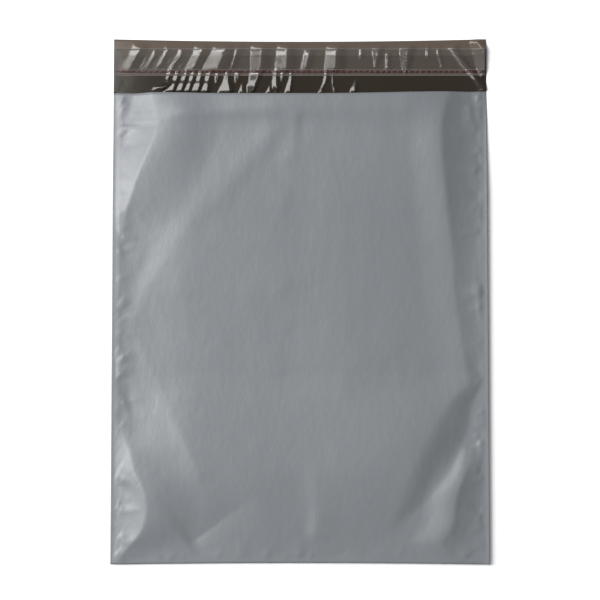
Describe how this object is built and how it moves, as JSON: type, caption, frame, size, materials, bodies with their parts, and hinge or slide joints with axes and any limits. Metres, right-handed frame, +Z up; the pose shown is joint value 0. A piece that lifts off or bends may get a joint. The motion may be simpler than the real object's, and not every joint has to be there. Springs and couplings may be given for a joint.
{
  "type": "poly mailer bag",
  "caption": "Self-seal plastic film mailing bag lying flat with its flap open, an open pocket inside and an adhesive strip under a clear release liner.",
  "frame": {"origin": "middle of the footprint, on the surface that the bag lies on", "axes": "+X across the bag to the right as the open flap points away, +Y from the bottom fold to the flap, +Z up out of the front"},
  "size_m": [0.43, 0.602, 0.0221],
  "materials": {
    "bag_film": "grey satin film outside, dark brown film inside",
    "adhesive": "soft hot-melt adhesive with an embossed dot pattern",
    "liner": "clear glossy release film"
  },
  "bodies": {
    "root": {"bag_film": "bag_film", "adhesive_strip": "adhesive", "release_liner": "liner"}
  },
  "joints": []
}
